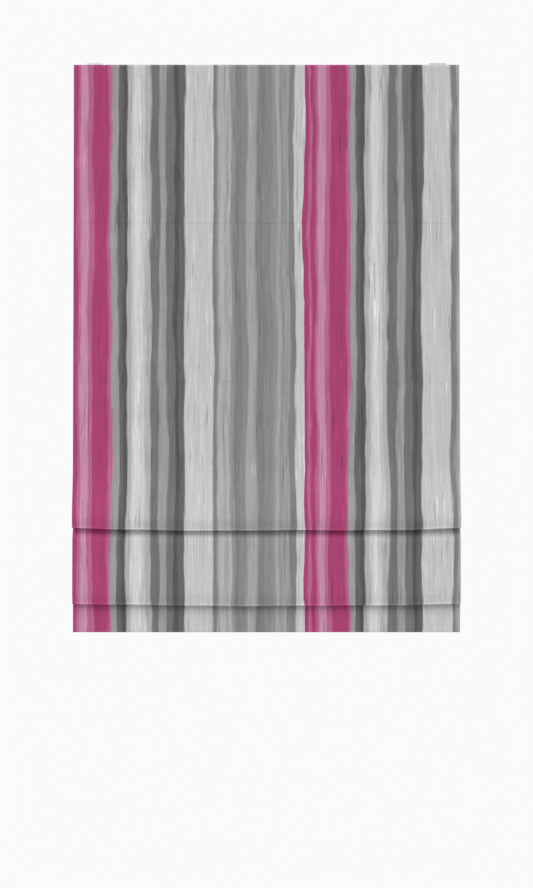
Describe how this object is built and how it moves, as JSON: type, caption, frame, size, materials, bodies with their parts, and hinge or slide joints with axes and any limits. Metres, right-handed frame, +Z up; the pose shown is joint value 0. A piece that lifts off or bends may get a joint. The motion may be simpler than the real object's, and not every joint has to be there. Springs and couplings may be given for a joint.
{
  "type": "roman blind",
  "caption": "Flat Roman blind with a striped cloth drawn part way up in overlapped folds, on a head rail with a cordless spring lift.",
  "frame": {"origin": "centre of the four screw holes in the two brackets' top faces, where the blind is fixed under a lintel or ceiling", "axes": "+Z up along the drop, +X along the head rail to the right as seen from the room, -Y towards the room"},
  "size_m": [0.9, 0.0766, 1.331],
  "materials": {
    "face_print": "printed linen-look polyester, upright stripes in grey, rose and magenta",
    "lining_cloth": "plain woven blackout lining, ivory",
    "tape": "woven hook and loop tape, white",
    "rail_paint": "satin white powder coat on extruded aluminium",
    "white_plastic": "moulded plastic, satin white",
    "zinc_steel": "zinc plated pressed steel",
    "shaft_aluminium": "drawn bar",
    "grey_plastic": "moulded plastic, mid grey",
    "spring_steel": "rolled spring strip",
    "nylon": "natural nylon",
    "cord": "braided polyester cord",
    "rod_fibre": "pultruded glass fibre rod, white",
    "clear_plastic": "moulded translucent plastic",
    "bar_aluminium": "flat extruded bar"
  },
  "bodies": {
    "headrail_body": {"headrail": "rail_paint", "end_cap_left": "white_plastic", "end_cap_right": "white_plastic", "bracket_left": "zinc_steel", "bracket_right": "zinc_steel", "hook_tape": "tape", "loop_tape": "tape", "face_fabric": "face_print", "lining": "lining_cloth", "motor_housing": "grey_plastic", "motor_cover": "grey_plastic", "motor_spring": "spring_steel", "brake_housing": "grey_plastic", "brake_spring": "spring_steel", "cradle_1": "grey_plastic", "cradle_2": "grey_plastic", "cradle_3": "grey_plastic", "lift_cord_1": "cord", "lift_cord_2": "cord", "lift_cord_3": "cord"},
    "shaft_body": {"drive_shaft": "shaft_aluminium", "motor_hub": "nylon", "brake_hub": "nylon", "spool_1": "nylon", "spool_2": "nylon", "spool_3": "nylon", "cord_wrap_1": "cord", "cord_wrap_2": "cord", "cord_wrap_3": "cord"},
    "latch_left_body": {"latch_left": "white_plastic"},
    "latch_right_body": {"latch_right": "white_plastic"},
    "rod_1_body": {"rod_1": "rod_fibre", "rod_caps_1": "white_plastic", "rod_rings_1": "clear_plastic"},
    "rod_2_body": {"rod_2": "rod_fibre", "rod_caps_2": "white_plastic", "rod_rings_2": "clear_plastic"},
    "rod_3_body": {"rod_3": "rod_fibre", "rod_caps_3": "white_plastic", "rod_rings_3": "clear_plastic"},
    "bottom_body": {"rod_4": "rod_fibre", "rod_caps_4": "white_plastic", "rod_rings_4": "clear_plastic", "cord_stops": "clear_plastic", "bottom_bar": "bar_aluminium", "bottom_bar_caps": "white_plastic"}
  },
  "joints": [
    {"name": "stroke_1", "type": "slide", "parent": "headrail_body", "child": "rod_1_body", "axis": [0, 0, 1], "range_m": [0, 0.325], "deforming": ["face_fabric", "lining", "lift_cord_1", "lift_cord_2", "lift_cord_3"]},
    {"name": "stroke_2", "type": "slide", "parent": "rod_1_body", "child": "rod_2_body", "axis": [0, 0, 1], "range_m": [0, 0.35], "deforming": ["face_fabric", "lining", "lift_cord_1", "lift_cord_2", "lift_cord_3"]},
    {"name": "stroke_3", "type": "slide", "parent": "rod_2_body", "child": "rod_3_body", "axis": [0, 0, 1], "range_m": [-0.04, 0.31], "deforming": ["face_fabric", "lining", "lift_cord_1", "lift_cord_2", "lift_cord_3"]},
    {"name": "stroke_4", "type": "slide", "parent": "rod_3_body", "child": "bottom_body", "axis": [0, 0, 1], "range_m": [-0.35, 0], "deforming": ["face_fabric", "lining", "lift_cord_1", "lift_cord_2", "lift_cord_3"]},
    {"name": "shaft_turn", "type": "hinge", "parent": "headrail_body", "child": "shaft_body", "pos_m": [0, -0.001, -0.0222], "axis": [1, 0, 0], "range_deg": [-2225, 290]},
    {"name": "latch_left_turn", "type": "hinge", "parent": "headrail_body", "child": "latch_left_body", "pos_m": [-0.4, 0, -0.0035], "axis": [0, 0, 1], "range_deg": [-90, 0]},
    {"name": "latch_right_turn", "type": "hinge", "parent": "headrail_body", "child": "latch_right_body", "pos_m": [0.4, 0, -0.0035], "axis": [0, 0, 1], "range_deg": [-90, 0]}
  ],
  "couplings": [
    {"joint": "shaft_turn", "follows": "stroke_3", "rad_per_m": -125}
  ]
}
